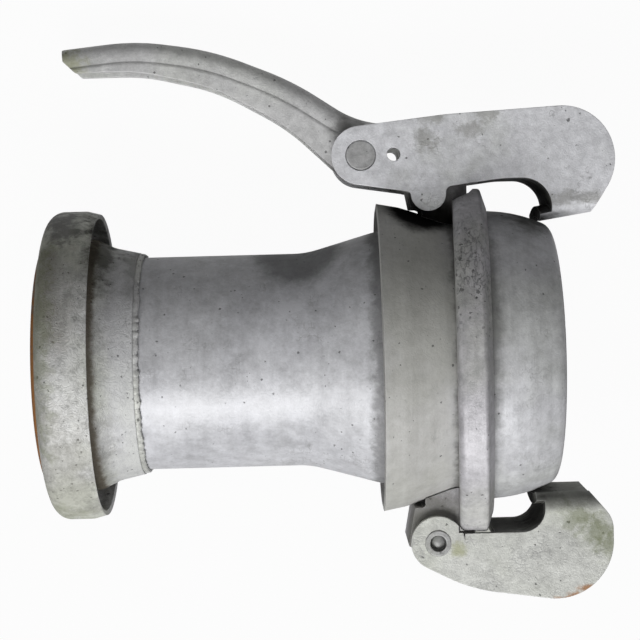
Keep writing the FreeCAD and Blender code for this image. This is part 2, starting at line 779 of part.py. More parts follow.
def rest_roll():
    """How far the part is rolled about its axis so that the lever's rounded back edge
    touches what the collar and the ring stand on."""
    x = LEVER_PIVOT[0] + REST_PLACE[0]
    u = LEVER_PIVOT[1] + REST_PLACE[1] - LEVER_ROUND
    v = LEVER_HANDLE_WIDTH / 2 - LEVER_CREASE_STEP - LEVER_ROUND
    slope = (RIM - COLLAR_DIA / 2) / (RING_START + RING_FACE - COLLAR_FLAT_END)
    depth = COLLAR_DIA / 2 + slope * (x - COLLAR_FLAT_END)
    lean = math.asin((depth - LEVER_ROUND) / math.hypot(u, v))
    return math.degrees(lean - math.atan2(v, u))


PIECES = {
    "reducer_tube": reducer_tube,
    "female_bell": female_bell,
    "seal_ring": seal_ring,
    "male_ball": male_ball,
    "bell_weld": bell_weld,
    "ball_weld": ball_weld,
    "neck_weld": neck_weld,
    "closure_ring": closure_ring,
    "lever_lug": lever_lug,
    "counter_lug": counter_lug,
    "lever_lug_welds": lever_lug_welds,
    "counter_lug_welds": counter_lug_welds,
    "lever_hook": lever_hook,
    "counter_hook": counter_hook,
    "lever": lever,
    "lever_pin": lever_pin,
    "hook_pin": hook_pin,
    "counter_pin": counter_pin,
}


if __name__ == "__main__":
    os.makedirs("parts", exist_ok=True)
    roll = rest_roll()
    print("rolled by", round(roll, 2), "degrees")
    for name, make in PIECES.items():
        shape = make()
        shape.rotate(vec(0, 0), AXIS, -roll)
        shape.exportStep("parts/" + name + ".step")
        print(name, shape.isValid(), len(shape.Solids), round(shape.Volume / 1000, 1))
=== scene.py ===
# %% [markdown]
# This lesson dresses an irrigation pipe reducer: a short steel pipe that joins a narrow quick-coupling line
# to a wide one. All of it but the rubber seal was dipped in molten zinc and used for years, and it lies on
# its side on a pale floor. The construction comes in as a fixed frame, in metres, with the pipe axis on X.
# Nothing there is moved. What this script adds is the finish of each surface, the ripples on the welds, the
# floor, the light and the camera.

# %% Load the frame
import bpy
import json
import math
from mathutils import Matrix, Vector

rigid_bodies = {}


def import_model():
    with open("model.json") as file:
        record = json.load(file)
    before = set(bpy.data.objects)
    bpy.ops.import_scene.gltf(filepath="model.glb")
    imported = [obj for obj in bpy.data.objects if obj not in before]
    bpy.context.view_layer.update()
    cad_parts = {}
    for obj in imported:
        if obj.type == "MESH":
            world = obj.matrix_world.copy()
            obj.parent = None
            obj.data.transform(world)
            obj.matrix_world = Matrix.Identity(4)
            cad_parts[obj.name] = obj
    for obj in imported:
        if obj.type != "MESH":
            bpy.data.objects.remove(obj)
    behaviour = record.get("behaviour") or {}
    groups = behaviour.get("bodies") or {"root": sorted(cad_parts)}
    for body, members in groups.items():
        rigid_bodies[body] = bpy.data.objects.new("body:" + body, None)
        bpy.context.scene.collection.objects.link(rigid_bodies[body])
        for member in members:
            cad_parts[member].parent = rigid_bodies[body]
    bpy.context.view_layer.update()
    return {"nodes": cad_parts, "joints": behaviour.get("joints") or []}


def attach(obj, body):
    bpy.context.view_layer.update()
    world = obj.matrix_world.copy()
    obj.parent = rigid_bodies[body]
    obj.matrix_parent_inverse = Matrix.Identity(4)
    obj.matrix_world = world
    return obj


for leftover in list(bpy.data.objects):
    bpy.data.objects.remove(leftover)
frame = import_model()

# %% [markdown]
# The hinge pins all point the same way, and the lever and both hooks lie in one plane across them. It is
# handy to give places in that plane, in millimetres: x along the pipe, u from its axis to the lever, and v
# along the pins towards the camera. The lever's own joint says how that plane is turned, so no angle is
# written here.

# %% The lever's plane
MM = 0.001
LEVER_JOINT = next(joint for joint in frame["joints"] if joint["name"] == "lever_pivot")
PIPE_AXIS = Vector((1, 0, 0))
PIN_AXIS = -Vector(LEVER_JOINT["axis"]).normalized()
LEVER_SIDE = PIN_AXIS.cross(PIPE_AXIS)


def place(x, u, v=0.0):
    """A point of the lever's plane, as a point in the frame's metres."""
    return (PIPE_AXIS * x + LEVER_SIDE * u + PIN_AXIS * v) * MM


def to_plane(point):
    """The same, the other way round."""
    return Vector((point.dot(PIPE_AXIS), point.dot(LEVER_SIDE), point.dot(PIN_AXIS))) / MM


lever_pivot = to_plane(Vector(LEVER_JOINT["pos_m"]))
print("lever pivot at", [round(c, 1) for c in lever_pivot])

# %% [markdown]
# The photograph was taken with a long lens, almost along the hinge pins. A camera could be moved about until
# the picture fits. But such a view is fixed by three things: where the pins' direction vanishes in the
# picture, how the pipe's axis slopes there, and where the camera stands. From these its axes are worked out,
# with no trial and error.

# %% Camera
PICTURE_PX = 640.0
FOCAL_PX = 1850.0
VANISH_PX = (323.0, 249.0)
AXIS_SLOPE = 0.0265
CAMERA_FOOT = (181.5, 72.5)
CAMERA_HEIGHT = 1221.9
SENSOR = 36.0
CLIP_END = 20.0


def camera_matrix():
    right_px = VANISH_PX[0] - PICTURE_PX / 2
    up_px = PICTURE_PX / 2 - VANISH_PX[1]
    pins = -Vector((right_px, up_px, -FOCAL_PX)).normalized()
    pipe = Vector((1.0, AXIS_SLOPE, 0.0))
    pipe = (pipe - pins * pipe.dot(pins)).normalized()
    side = pins.cross(pipe)
    axes = [PIPE_AXIS * pipe[i] + LEVER_SIDE * side[i] + PIN_AXIS * pins[i] for i in range(3)]
    turned = Matrix((axes[0], axes[1], axes[2])).transposed().to_4x4()
    turned.translation = place(CAMERA_FOOT[0], CAMERA_FOOT[1], CAMERA_HEIGHT)
    return turned


camera_data = bpy.data.cameras.new("camera")
camera_data.sensor_width = SENSOR
camera_data.lens = FOCAL_PX / PICTURE_PX * SENSOR
camera_data.clip_end = CLIP_END
camera = bpy.data.objects.new("camera", camera_data)
camera.matrix_world = camera_matrix()
bpy.context.scene.collection.objects.link(camera)
bpy.context.scene.camera = camera
print("camera at", [round(c, 3) for c in camera.location], "lens", round(camera_data.lens, 1))

# %% [markdown]
# A material is a small network of nodes. The helpers here keep the code for one short: `add` makes a node
# and plugs values or other sockets into its inputs, the ones after it make the nodes that are needed most,
# and `node_group` makes a reusable block with named sockets, which several finishes share with their own
# values. Some nodes keep a socket for every kind of value, and there the right one is found by its number.

# %% Node helpers
MIX_COLORS = (6, 7)
MIXED_COLOR = 2


def add(tree, kind, inputs=None, **settings):
    """A node with its settings, its inputs set from values or linked from sockets."""
    node = tree.nodes.new(kind)
    for name, value in settings.items():
        setattr(node, name, value)
    for key, value in (inputs or {}).items():
        if isinstance(value, bpy.types.NodeSocket):
            tree.links.new(value, node.inputs[key])
        else:
            node.inputs[key].default_value = value
    return node


def calc(tree, operation, a, b=0.0, c=0.0, clamp=False):
    """Arithmetic with numbers."""
    node = add(tree, "ShaderNodeMath", {0: a, 1: b, 2: c}, operation=operation, use_clamp=clamp)
    return node.outputs[0]


def vector_calc(tree, operation, a, b=None, scale=None):
    """Arithmetic with vectors. A length and a dot product come out as a number."""
    given = {0: a, 1: b, "Scale": scale}
    inputs = {key: value for key, value in given.items() if value is not None}
    node = add(tree, "ShaderNodeVectorMath", inputs, operation=operation)
    return node.outputs["Value" if operation in ("LENGTH", "DOT_PRODUCT") else "Vector"]


def between(tree, value, low, high, out_low=0.0, out_high=1.0):
    """A smooth step: out_low below low, out_high above high."""
    node = add(
        tree,
        "ShaderNodeMapRange",
        {"Value": value, "From Min": low, "From Max": high, "To Min": out_low, "To Max": out_high},
        interpolation_type="SMOOTHSTEP",
    )
    return node.outputs["Result"]


def blend(tree, mask, first, second, mode="MIX"):
    """First colour where the mask is 0, second where it is 1."""
    inputs = {0: mask, MIX_COLORS[0]: first, MIX_COLORS[1]: second}
    node = add(tree, "ShaderNodeMix", inputs, data_type="RGBA", blend_type=mode)
    return node.outputs[MIXED_COLOR]


def noise(tree, vector, scale, detail=4.0, roughness=0.55, distortion=0.0):
    """A cloudy noise from 0 to 1."""
    inputs = {"Vector": vector, "Scale": scale, "Detail": detail}
    inputs.update({"Roughness": roughness, "Distortion": distortion})
    return add(tree, "ShaderNodeTexNoise", inputs).outputs["Fac"]


def node_group(name, kind, inputs, outputs):
    """An empty group with named sockets, from {name: (kind, default)} and {name: kind}."""
    tree = bpy.data.node_groups.new(name, kind)
    for label, (socket_kind, default) in inputs.items():
        socket = tree.interface.new_socket(label, in_out="INPUT", socket_type="NodeSocket" + socket_kind)
        if default is not None:
            socket.default_value = default
    for label, socket_kind in outputs.items():
        tree.interface.new_socket(label, in_out="OUTPUT", socket_type="NodeSocket" + socket_kind)
    return tree, tree.nodes.new("NodeGroupInput").outputs, tree.nodes.new("NodeGroupOutput").inputs


def grey(level, tint=(1.0, 1.0, 1.0)):
    """A nearly neutral colour, with a slight cast."""
    return (level * tint[0], level * tint[1], level * tint[2], 1.0)


# %% [markdown]
# Hot-dip zinc is never one grey. It dries in cloudy patches with a fine grain, and where it ran it lies in
# small wrinkles. A painted picture could show that, but it would blur up close and need unwrapping. So the
# group below mixes three sizes of noise for the tone, with thin streaks round the pipe from the tools that
# formed it. It gives a colour between a dark and a light one, a roughness, and a height for the bump. A slow
# noise shifts the colour a little towards a second cast, as old zinc does.

# %% Zinc skin group
STREAK_STRETCH = (260.0, 14.0, 14.0)
FINER = {"mottle": 5.0, "grain": 24.0, "folds": 8.0}
FOLD_EDGE = 0.22
TONE_SHARE = {"clouds": 1.0, "mottle": 1.2, "grain": 0.45, "folds": 0.12}
TONE_GAIN = 1.7
CAST_SCALE = 14.0
CAST_EDGES = (0.42, 0.62)
SMOOTHEST = 0.38
ROUGHER_BY = 0.14
RELIEF = {"mottle": 0.6, "grain": 0.3, "folds": 0.35}


def swing(tree, value, size):
    """A noise, whose middle is a half, as a swing about zero."""
    return calc(tree, "MULTIPLY_ADD", value, size, -size / 2)


def make_zinc_skin():
    tree, given, out = node_group(
        "zinc skin",
        "ShaderNodeTree",
        {
            "Vector": ("Vector", None),
            "Cloud Scale": ("Float", 30.0),
            "Contrast": ("Float", 1.0),
            "Streaks": ("Float", 0.3),
            "Wrinkles": ("Float", 0.5),
            "Light": ("Color", grey(0.6)),
            "Dark": ("Color", grey(0.3)),
            "Cast": ("Color", grey(1.0)),
        },
        {"Color": "Color", "Roughness": "Float", "Height": "Float"},
    )
    vector = given["Vector"]
    scale = given["Cloud Scale"]
    finer = {name: calc(tree, "MULTIPLY", scale, times) for name, times in FINER.items()}
    clouds = noise(tree, vector, scale, detail=5.0, roughness=0.6)
    mottle = noise(tree, vector, finer["mottle"], detail=5.0, roughness=0.65)
    grain = noise(tree, vector, finer["grain"], detail=3.0, roughness=0.7)
    stretched = vector_calc(tree, "MULTIPLY", vector, STREAK_STRETCH)
    streaks = noise(tree, stretched, 1.0, detail=4.0, roughness=0.6)
    folds = noise(tree, vector, finer["folds"], detail=2.0, roughness=0.5, distortion=1.6)
    wrinkle = calc(tree, "ABSOLUTE", calc(tree, "MULTIPLY_ADD", folds, 2.0, -1.0))
    wrinkle = calc(tree, "MULTIPLY", between(tree, wrinkle, 0.0, FOLD_EDGE), given["Wrinkles"])
    tone = swing(tree, clouds, TONE_SHARE["clouds"])
    tone = calc(tree, "ADD", tone, swing(tree, mottle, TONE_SHARE["mottle"]))
    tone = calc(tree, "ADD", tone, swing(tree, grain, TONE_SHARE["grain"]))
    centred = calc(tree, "SUBTRACT", streaks, 0.5)
    tone = calc(tree, "ADD", tone, calc(tree, "MULTIPLY", centred, given["Streaks"]))
    tone = calc(tree, "ADD", tone, calc(tree, "MULTIPLY", wrinkle, TONE_SHARE["folds"]))
    tone = calc(tree, "MULTIPLY", tone, given["Contrast"])
    tone = calc(tree, "MULTIPLY_ADD", tone, TONE_GAIN, 0.5, clamp=True)
    color = blend(tree, tone, given["Dark"], given["Light"])
    patches = between(tree, noise(tree, vector, CAST_SCALE, detail=3.0), *CAST_EDGES)
    color = blend(tree, patches, color, blend(tree, 1.0, color, given["Cast"], "MULTIPLY"))
    rough = calc(tree, "MULTIPLY_ADD", tone, ROUGHER_BY, SMOOTHEST)
    height = calc(tree, "MULTIPLY", grain, RELIEF["grain"])
    height = calc(tree, "MULTIPLY_ADD", mottle, RELIEF["mottle"], height)
    height = calc(tree, "ADD", height, calc(tree, "MULTIPLY", wrinkle, RELIEF["folds"]))
    for label, value in (("Color", color), ("Roughness", rough), ("Height", height)):
        tree.links.new(value, out[label])
    return tree


# %% [markdown]
# Years of use leave small dark pits and thin scratches. Modelling each one would take millions of faces, and
# they are far too shallow to change an outline, so both are masks for the material. Pits are the middles of
# Voronoi cells, each with its own size, thinned out by a slow noise so that they come in swarms.

# %% Pits group
WARP = 0.7
WARP_FINER = 2.5
SWARM_SCALE = 45.0
SWARM_EDGES = (0.35, 0.65)
SWARM_CHANCES = (0.15, 1.6)
SMALLEST_PIT = 0.08
LARGER_BY = 0.28
FEW_LARGE = 3.0
PIT_EDGES = (-0.05, 0.06)


def make_pits():
    tree, given, out = node_group(
        "pits",
        "ShaderNodeTree",
        {
            "Vector": ("Vector", None),
            "Scale": ("Float", 150.0),
            "Amount": ("Float", 0.5),
            "Size": ("Float", 1.0),
        },
        {"Mask": "Float"},
    )
    vector = given["Vector"]
    scale = given["Scale"]
    finer = calc(tree, "MULTIPLY", scale, WARP_FINER)
    wobble = add(tree, "ShaderNodeTexNoise", {"Vector": vector, "Scale": finer}).outputs["Color"]
    shift = vector_calc(tree, "SCALE", wobble, scale=calc(tree, "DIVIDE", WARP, scale))
    moved = vector_calc(tree, "ADD", vector, shift)
    cells = add(tree, "ShaderNodeTexVoronoi", {"Vector": moved, "Scale": scale}).outputs
    lottery = add(tree, "ShaderNodeSeparateColor", {"Color": cells["Color"]}).outputs
    swarm = between(tree, noise(tree, vector, SWARM_SCALE, detail=3.0), *SWARM_EDGES, *SWARM_CHANCES)
    kept = calc(tree, "LESS_THAN", lottery[0], calc(tree, "MULTIPLY", given["Amount"], swarm))
    radius = calc(tree, "MULTIPLY_ADD", calc(tree, "POWER", lottery[1], FEW_LARGE), LARGER_BY, SMALLEST_PIT)
    radius = calc(tree, "MULTIPLY", radius, given["Size"])
    depth = calc(tree, "SUBTRACT", radius, cells["Distance"])
    tree.links.new(calc(tree, "MULTIPLY", between(tree, depth, *PIT_EDGES), kept), out["Mask"])
    return tree


# %% [markdown]
# Scratches are the thin line where a long stretched noise passes its middle value. A second noise keeps them
# in a few places only, and with a larger amount these places grow.

# %% Scratches group
SCRATCHED_SCALE = 38.0
SCRATCHED_FROM = 0.72
SCRATCHED_SHARE = -0.35
SCRATCHED_EDGE = 0.06


def make_scratches():
    tree, given, out = node_group(
        "scratches",
        "ShaderNodeTree",
        {
            "Vector": ("Vector", None),
            "Stretch": ("Vector", (10.0, 160.0, 160.0)),
            "Width": ("Float", 0.012),
            "Amount": ("Float", 0.5),
        },
        {"Mask": "Float"},
    )
    stretched = vector_calc(tree, "MULTIPLY", given["Vector"], given["Stretch"])
    lines = noise(tree, stretched, 1.0, detail=2.0, roughness=0.6)
    off = calc(tree, "ABSOLUTE", calc(tree, "SUBTRACT", lines, 0.5))
    line = calc(tree, "SUBTRACT", 1.0, calc(tree, "DIVIDE", off, given["Width"]), clamp=True)
    places = noise(tree, given["Vector"], SCRATCHED_SCALE, detail=2.0)
    limit = calc(tree, "MULTIPLY_ADD", given["Amount"], SCRATCHED_SHARE, SCRATCHED_FROM)
    few = between(tree, places, limit, calc(tree, "ADD", limit, SCRATCHED_EDGE))
    tree.links.new(calc(tree, "MULTIPLY", line, few), out["Mask"])
    return tree


# %% [markdown]
# Algae, rust and dark run-off sit in definite places. One more group gives a soft patch with a ragged edge
# around a point, so each stain can be put where the photograph shows it and follows that place in any view.

# %% Stain and shade group
# The same patch also lays painted shade under and beside the hooks.
EDGE_BREAK = 2.4
STAIN_EDGES = (-0.05, 0.75)


def make_stain_and_shade():
    tree, given, out = node_group(
        "stain_and_shade",
        "ShaderNodeTree",
        {
            "Vector": ("Vector", None),
            "Centre": ("Vector", (0.0, 0.0, 0.0)),
            "Reach": ("Vector", (0.02, 0.02, 0.02)),
            "Ragged": ("Float", 0.8),
            "Grain": ("Float", 90.0),
        },
        {"Mask": "Float"},
    )
    away = vector_calc(tree, "SUBTRACT", given["Vector"], given["Centre"])
    far = vector_calc(tree, "LENGTH", vector_calc(tree, "DIVIDE", away, given["Reach"]))
    breaks = noise(tree, given["Vector"], given["Grain"], detail=6.0, roughness=0.7)
    edge = calc(tree, "MULTIPLY", calc(tree, "SUBTRACT", breaks, 0.5), given["Ragged"])
    edge = calc(tree, "MULTIPLY", edge, EDGE_BREAK)
    near = calc(tree, "ADD", calc(tree, "SUBTRACT", 1.0, far), edge)
    tree.links.new(between(tree, near, *STAIN_EDGES), out["Mask"])
    return tree


GROUPS = {
    "skin": make_zinc_skin(),
    "pits": make_pits(),
    "scratches": make_scratches(),
    "stain_and_shade": make_stain_and_shade(),
}
print("shared shader groups:", ", ".join(GROUPS))

# %% [markdown]
# Each finish is now a short recipe. `Finish` starts one: it makes the material and reads object coordinates.
# Its methods lay things on the zinc in the order in which they happened to the real piece. Points are turned
# into the lever's plane first, because the stains' places are known there. What is laid on as matt as dirt
# also takes the shine away, and a bevel that only the light sees rounds the sharp edges of cut sheet.

# %% Recipe for a finish
METAL = 0.15
SHINE = 0.35
MATT = 0.75
DIRT_ROUGH = 0.8
FAR_MM = 1000.0
FADE_MM = 1.0
SHARP_EDGES = (0.25, 0.75)
UPRIGHT_EDGES = (0.95, 0.6)
EDGE_ROUND = 0.0009
EDGE_TURN = (0.995, 0.88)
WORN = grey(0.78)
BUMP_DEPTH = 0.0006


class Finish:
    """A zinc surface in the making, with its colour, roughness and height so far."""

    def __init__(self, name, metallic=METAL, **skin_values):
        self.material = bpy.data.materials.new(name)
        self.material.use_nodes = True
        self.tree = self.material.node_tree
        self.tree.nodes.clear()
        self.metallic = metallic
        self.shine = SHINE
        self.source = add(self.tree, "ShaderNodeTexCoord")
        self.plane = self.turned("Object")
        skin = self.group("skin", {key.replace("_", " "): value for key, value in skin_values.items()})
        self.color = skin["Color"]
        self.rough = skin["Roughness"]
        self.height = skin["Height"]

    def turned(self, kind):
        """The object's own coordinates or normal, turned into the lever's plane."""
        vector = self.source.outputs[kind]
        axes = (PIPE_AXIS, LEVER_SIDE, PIN_AXIS)
        parts = [vector_calc(self.tree, "DOT_PRODUCT", vector, axis) for axis in axes]
        return add(self.tree, "ShaderNodeCombineXYZ", dict(enumerate(parts))).outputs[0]

    def group(self, name, values):
        """One of the shared groups with its own values, on the lever's plane."""
        node = self.tree.nodes.new("ShaderNodeGroup")
        node.node_tree = GROUPS[name]
        self.tree.links.new(self.plane, node.inputs["Vector"])
        for key, value in values.items():
            node.inputs[key].default_value = value
        return node.outputs

    def lay(self, mask, color, strength, rough, dent=0.0):
        """Lays a colour on where the mask is, and makes it rougher, duller and sunk there."""
        mask = calc(self.tree, "MULTIPLY", mask, strength)
        self.color = blend(self.tree, mask, self.color, color)
        change = calc(self.tree, "MULTIPLY", mask, calc(self.tree, "SUBTRACT", rough, self.rough))
        self.rough = calc(self.tree, "ADD", self.rough, change)
        if rough >= MATT:
            self.shine = calc(self.tree, "MULTIPLY", self.shine, calc(self.tree, "SUBTRACT", 1.0, mask))
        if dent:
            self.height = calc(self.tree, "SUBTRACT", self.height, calc(self.tree, "MULTIPLY", mask, dent))

    def patch(self, centre, reach, ragged, grain):
        """A mask round a point of the lever's plane, both in millimetres."""
        values = {
            "Centre": [c * MM for c in centre],
            "Reach": [r * MM for r in reach],
            "Ragged": ragged,
            "Grain": grain,
        }
        return self.group("stain_and_shade", values)["Mask"]

    def marks(self, name, values, where):
        """The mask of a group, in one place only where that is given."""
        mask = self.group(name, values)["Mask"]
        if where:
            mask = calc(self.tree, "MULTIPLY", mask, self.patch(*where, ragged=0.6, grain=80.0))
        return mask

    def pits(self, scale, amount, size=1.0, color=grey(0.06), strength=0.7, where=None):
        """Small dark holes, closer together with a larger scale."""
        mask = self.marks("pits", {"Scale": scale, "Amount": amount, "Size": size}, where)
        self.lay(mask, color, strength, DIRT_ROUGH, dent=0.6)

    def scratches(self, stretch, amount, color, strength=0.6, width=0.012, where=None):
        """Thin lines that run the way the stretch is smallest."""
        mask = self.marks("scratches", {"Stretch": stretch, "Amount": amount, "Width": width}, where)
        self.lay(mask, color, strength, rough=0.45, dent=0.3)

    def stain_and_shade(self, centre, reach, color, strength=0.8, ragged=0.8, grain=90.0, sharp=False):
        """Dirt round a point, with a soft edge or a sharp one. Some of these patches are painted shade."""
        mask = self.patch(centre, reach, ragged, grain)
        if sharp:
            mask = between(self.tree, mask, *SHARP_EDGES)
        self.lay(mask, color, strength, DIRT_ROUGH)

    def within(self, radius):
        """A mask of what is nearer to the pipe's axis than a radius in millimetres."""
        parts = add(self.tree, "ShaderNodeSeparateXYZ", {0: self.plane}).outputs
        squares = [calc(self.tree, "POWER", parts[i], 2.0) for i in (1, 2)]
        square = calc(self.tree, "ADD", squares[0], squares[1])
        return between(self.tree, square, (radius * MM) ** 2, ((radius - FADE_MM) * MM) ** 2)

    def band(self, x, half_width, color, strength=0.6, radius=FAR_MM, ragged=0.8):
        """Dirt in a line right round the pipe, on what lies within a radius."""
        line = self.patch((x, 0, 0), (half_width, FAR_MM, FAR_MM), ragged, grain=90.0)
        self.lay(calc(self.tree, "MULTIPLY", line, self.within(radius)), color, strength, DIRT_ROUGH)

    def cut_edge(self, centre, reach, color, strength=0.9, ragged=0.6):
        """A stain only on the faces that stand along the pins, such as a sheet's cut edge."""
        normal = add(self.tree, "ShaderNodeSeparateXYZ", {0: self.turned("Normal")}).outputs[2]
        upright = between(self.tree, calc(self.tree, "ABSOLUTE", normal), *UPRIGHT_EDGES)
        mask = calc(self.tree, "MULTIPLY", self.patch(centre, reach, ragged, grain=140.0), upright)
        self.lay(mask, color, strength, rough=0.85)

    def inside(self, radius, color, strength=0.6):
        """Dulls the inside of the pipe, up to a radius in millimetres."""
        self.lay(self.within(radius), color, strength, DIRT_ROUGH)

    def done(self, bump, wear=0.35):
        """Finishes with a bright worn edge and the shader itself."""
        tree = self.tree
        soft = add(tree, "ShaderNodeBevel", {"Radius": EDGE_ROUND}, samples=4).outputs[0]
        true = add(tree, "ShaderNodeNewGeometry").outputs["Normal"]
        edge = between(tree, vector_calc(tree, "DOT_PRODUCT", soft, true), *EDGE_TURN)
        color = blend(tree, calc(tree, "MULTIPLY", edge, wear), self.color, WORN)
        bumped = add(
            tree,
            "ShaderNodeBump",
            {"Strength": bump, "Distance": BUMP_DEPTH, "Height": self.height, "Normal": soft},
        )
        shader = add(
            tree,
            "ShaderNodeBsdfPrincipled",
            {
                "Base Color": color,
                "Roughness": self.rough,
                "Metallic": self.metallic,
                "Specular IOR Level": self.shine,
                "Normal": bumped.outputs[0],
            },
        )
        add(tree, "ShaderNodeOutputMaterial", {"Surface": shader.outputs[0]})
        return self.material


# %% [markdown]
# A few directions and colours serve many finishes. A scratch runs the way in which its noise is squeezed
# least: along the pipe, round it, along a hook, or in short strokes with no clear way. The tints are
# slight, because zinc is nearly grey, and the dirt's colours go from green over rust to black. The
# blackest is painted shade, and the grime's colour is painted shade in a few places too.

# %% Scratch directions and dirt colours
ALONG = (9.0, 260.0, 260.0)
AROUND = (420.0, 26.0, 26.0)
ALONG_HOOK = (45.0, 150.0, 60.0)
RUBBED = (60.0, 120.0, 90.0)
ACROSS = (130.0, 110.0, 60.0)
SCRIBBLE = (230.0, 120.0, 120.0)
COOL = (0.98, 0.985, 1.02)
VIOLET = (1.0, 0.98, 1.025)
OLIVE = (0.985, 1.0, 0.94)
OLIVE_DIRT = (0.9, 0.88, 0.76)
ALGAE = (0.20, 0.22, 0.12, 1.0)
MOSS = (0.34, 0.35, 0.16, 1.0)
RUST = (0.42, 0.19, 0.065, 1.0)
BROWN = (0.13, 0.105, 0.075, 1.0)
# Grime; the same colour is also painted shade beside the hooks.
GRIME_AND_PAINTED_SHADE = (0.045, 0.042, 0.034, 1.0)
# Painted shade: near black, for where shade falls under the lever hook.
PAINTED_SHADE_BLACK = grey(0.008)
THROAT = grey(0.03, OLIVE_DIRT)

# %% [markdown]
# The tube is the smoothest piece: drawn steel under thin zinc, polished by handling. It has faint rings left
# by the expanding tool, a few long scratches and scattered dark specks. Where it starts to widen, on the
# lever's side, lies one dark patch, and a line of grime where it goes under the skirt.

# %% Tube
tube = Finish(
    "galvanised tube",
    Light=grey(0.70, COOL),
    Dark=grey(0.44, COOL),
    Cast=grey(1.0, (0.96, 0.96, 0.97)),
    Cloud_Scale=22.0,
    Contrast=1.0,
    Streaks=0.25,
    Wrinkles=0.4,
)
tube.scratches(ALONG, 0.35, grey(0.22), 0.4)
tube.scratches(AROUND, 0.4, grey(0.26), 0.4)
tube.scratches(ACROSS, 0.4, grey(0.25), 0.35, width=0.03)
tube.scratches(RUBBED, 0.3, grey(0.9), 0.35)
tube.pits(430.0, 0.12)
tube.pits(170.0, 0.08, size=0.6)
tube.stain_and_shade((163.0, 76.0, 22.0), (45.0, 42.0, 90.0), grey(0.10), 0.6, ragged=0.25, grain=40.0, sharp=True)
tube.band(216.0, 9.0, GRIME_AND_PAINTED_SHADE, 0.5)
tube.inside(67.0, grey(0.16, OLIVE), 0.6)
tube_finish = tube.done(0.3)

# %% [markdown]
# The bell's collar lies on the ground more than any other piece. Towards the lever it is dark with greenish
# brown dirt, away from it a pale, wrinkled zinc, and a little rust sits on the rim. Grime fills the groove
# behind the collar and lies by the weld. The bell's own neck is as cool as the tube.

# %% Bell
bell = Finish(
    "weathered bell",
    Light=grey(0.66, (1.0, 1.0, 0.985)),
    Dark=grey(0.34, (1.0, 1.0, 0.97)),
    Cast=grey(1.0, (0.95, 0.97, 0.88)),
    Cloud_Scale=28.0,
    Contrast=1.4,
    Streaks=0.35,
    Wrinkles=0.9,
)
bell.stain_and_shade((54.0, 0.0, 0.0), (20.0, FAR_MM, FAR_MM), grey(0.68, COOL), 0.6, ragged=0.6, grain=60.0)
bell.scratches(ACROSS, 0.35, grey(0.8), 0.35, width=0.05)
bell.scratches(SCRIBBLE, 0.3, grey(0.15), 0.4, width=0.05)
bell.pits(380.0, 0.3)
bell.pits(160.0, 0.1, size=0.7)
bell.stain_and_shade((14.0, -70.0, 60.0), (36.0, 90.0, 90.0), grey(0.36, OLIVE_DIRT), 0.4, ragged=1.1, grain=45.0)
bell.stain_and_shade((14.0, 70.0, 70.0), (40.0, 60.0, 90.0), grey(0.26, OLIVE_DIRT), 0.35, ragged=1.3, grain=45.0)
bell.stain_and_shade((8.0, 52.0, 84.0), (18.0, 70.0, 70.0), BROWN, 0.35, ragged=1.2, grain=70.0)
bell.stain_and_shade((14.0, 98.0, 40.0), (26.0, 16.0, 70.0), grey(0.62), 0.5, ragged=0.9, grain=60.0)
bell.stain_and_shade((16.0, 92.0, 44.0), (22.0, 16.0, 60.0), grey(0.08), 0.55, ragged=1.8, grain=90.0)
bell.stain_and_shade((4.0, 26.0, 94.0), (13.0, 95.0, 70.0), ALGAE, 0.45, ragged=1.2, grain=110.0)
bell.stain_and_shade((8.0, -96.0, 30.0), (24.0, 18.0, 60.0), ALGAE, 0.35, ragged=1.0, grain=90.0)
bell.stain_and_shade((0.6, -20.0, 100.0), (3.0, 90.0, 40.0), RUST, 0.9, ragged=0.5, grain=120.0)
bell.band(33.5, 5.5, BROWN, 0.85, radius=89.0, ragged=0.5)
bell.stain_and_shade((40.0, 76.0, 30.0), (13.0, 36.0, 90.0), GRIME_AND_PAINTED_SHADE, 0.7, ragged=0.8)
bell.stain_and_shade((61.0, 62.0, 30.0), (9.0, 24.0, 60.0), GRIME_AND_PAINTED_SHADE, 0.35, ragged=1.0)
bell.inside(69.0, grey(0.14, OLIVE), 0.6)
bell_finish = bell.done(0.6)

# %% [markdown]
# The ball and its skirt have a thick, matt zinc skin, a little browner on the skirt. Grime has gathered on
# both sides of the ring. The space under the lever hook is painted black with painted shade, and the ball
# is darker under the hook's nose as well. Most of this is laid on with a soft edge, but the painted black
# shade ends sharply.

# %% Ball
ball = Finish(
    "zinc on the ball",
    Light=grey(0.72, COOL),
    Dark=grey(0.45, COOL),
    Cast=grey(1.0, (0.97, 0.98, 0.94)),
    Cloud_Scale=24.0,
    Contrast=0.9,
    Streaks=0.6,
    Wrinkles=0.5,
)
ball.stain_and_shade((232.0, 0.0, 0.0), (64.0, FAR_MM, FAR_MM), grey(0.46, OLIVE_DIRT), 0.5, ragged=0.4, grain=30.0)
ball.pits(400.0, 0.1)
ball.pits(150.0, 0.06, size=0.7)
ball.scratches(AROUND, 0.4, grey(0.25), 0.35)
ball.scratches(ACROSS, 0.25, grey(0.25), 0.3, width=0.03)
ball.band(266.0, 7.0, GRIME_AND_PAINTED_SHADE, 0.6)
ball.stain_and_shade((284.0, 30.0, 92.0), (9.0, 120.0, 90.0), GRIME_AND_PAINTED_SHADE, 0.45, ragged=0.7)
# Painted shade: black where shade falls under the lever hook.
ball.stain_and_shade((247.0, 106.0, 20.0), (40.0, 40.0, 90.0), PAINTED_SHADE_BLACK, 1.0, ragged=0.12, grain=50.0, sharp=True)
# Darker under the hook's nose.
ball.stain_and_shade((318.0, 96.0, 20.0), (26.0, 24.0, 60.0), GRIME_AND_PAINTED_SHADE, 0.7, ragged=0.6, grain=80.0)
ball.inside(82.0, grey(0.14, OLIVE), 0.6)
ball_finish = ball.done(0.35)

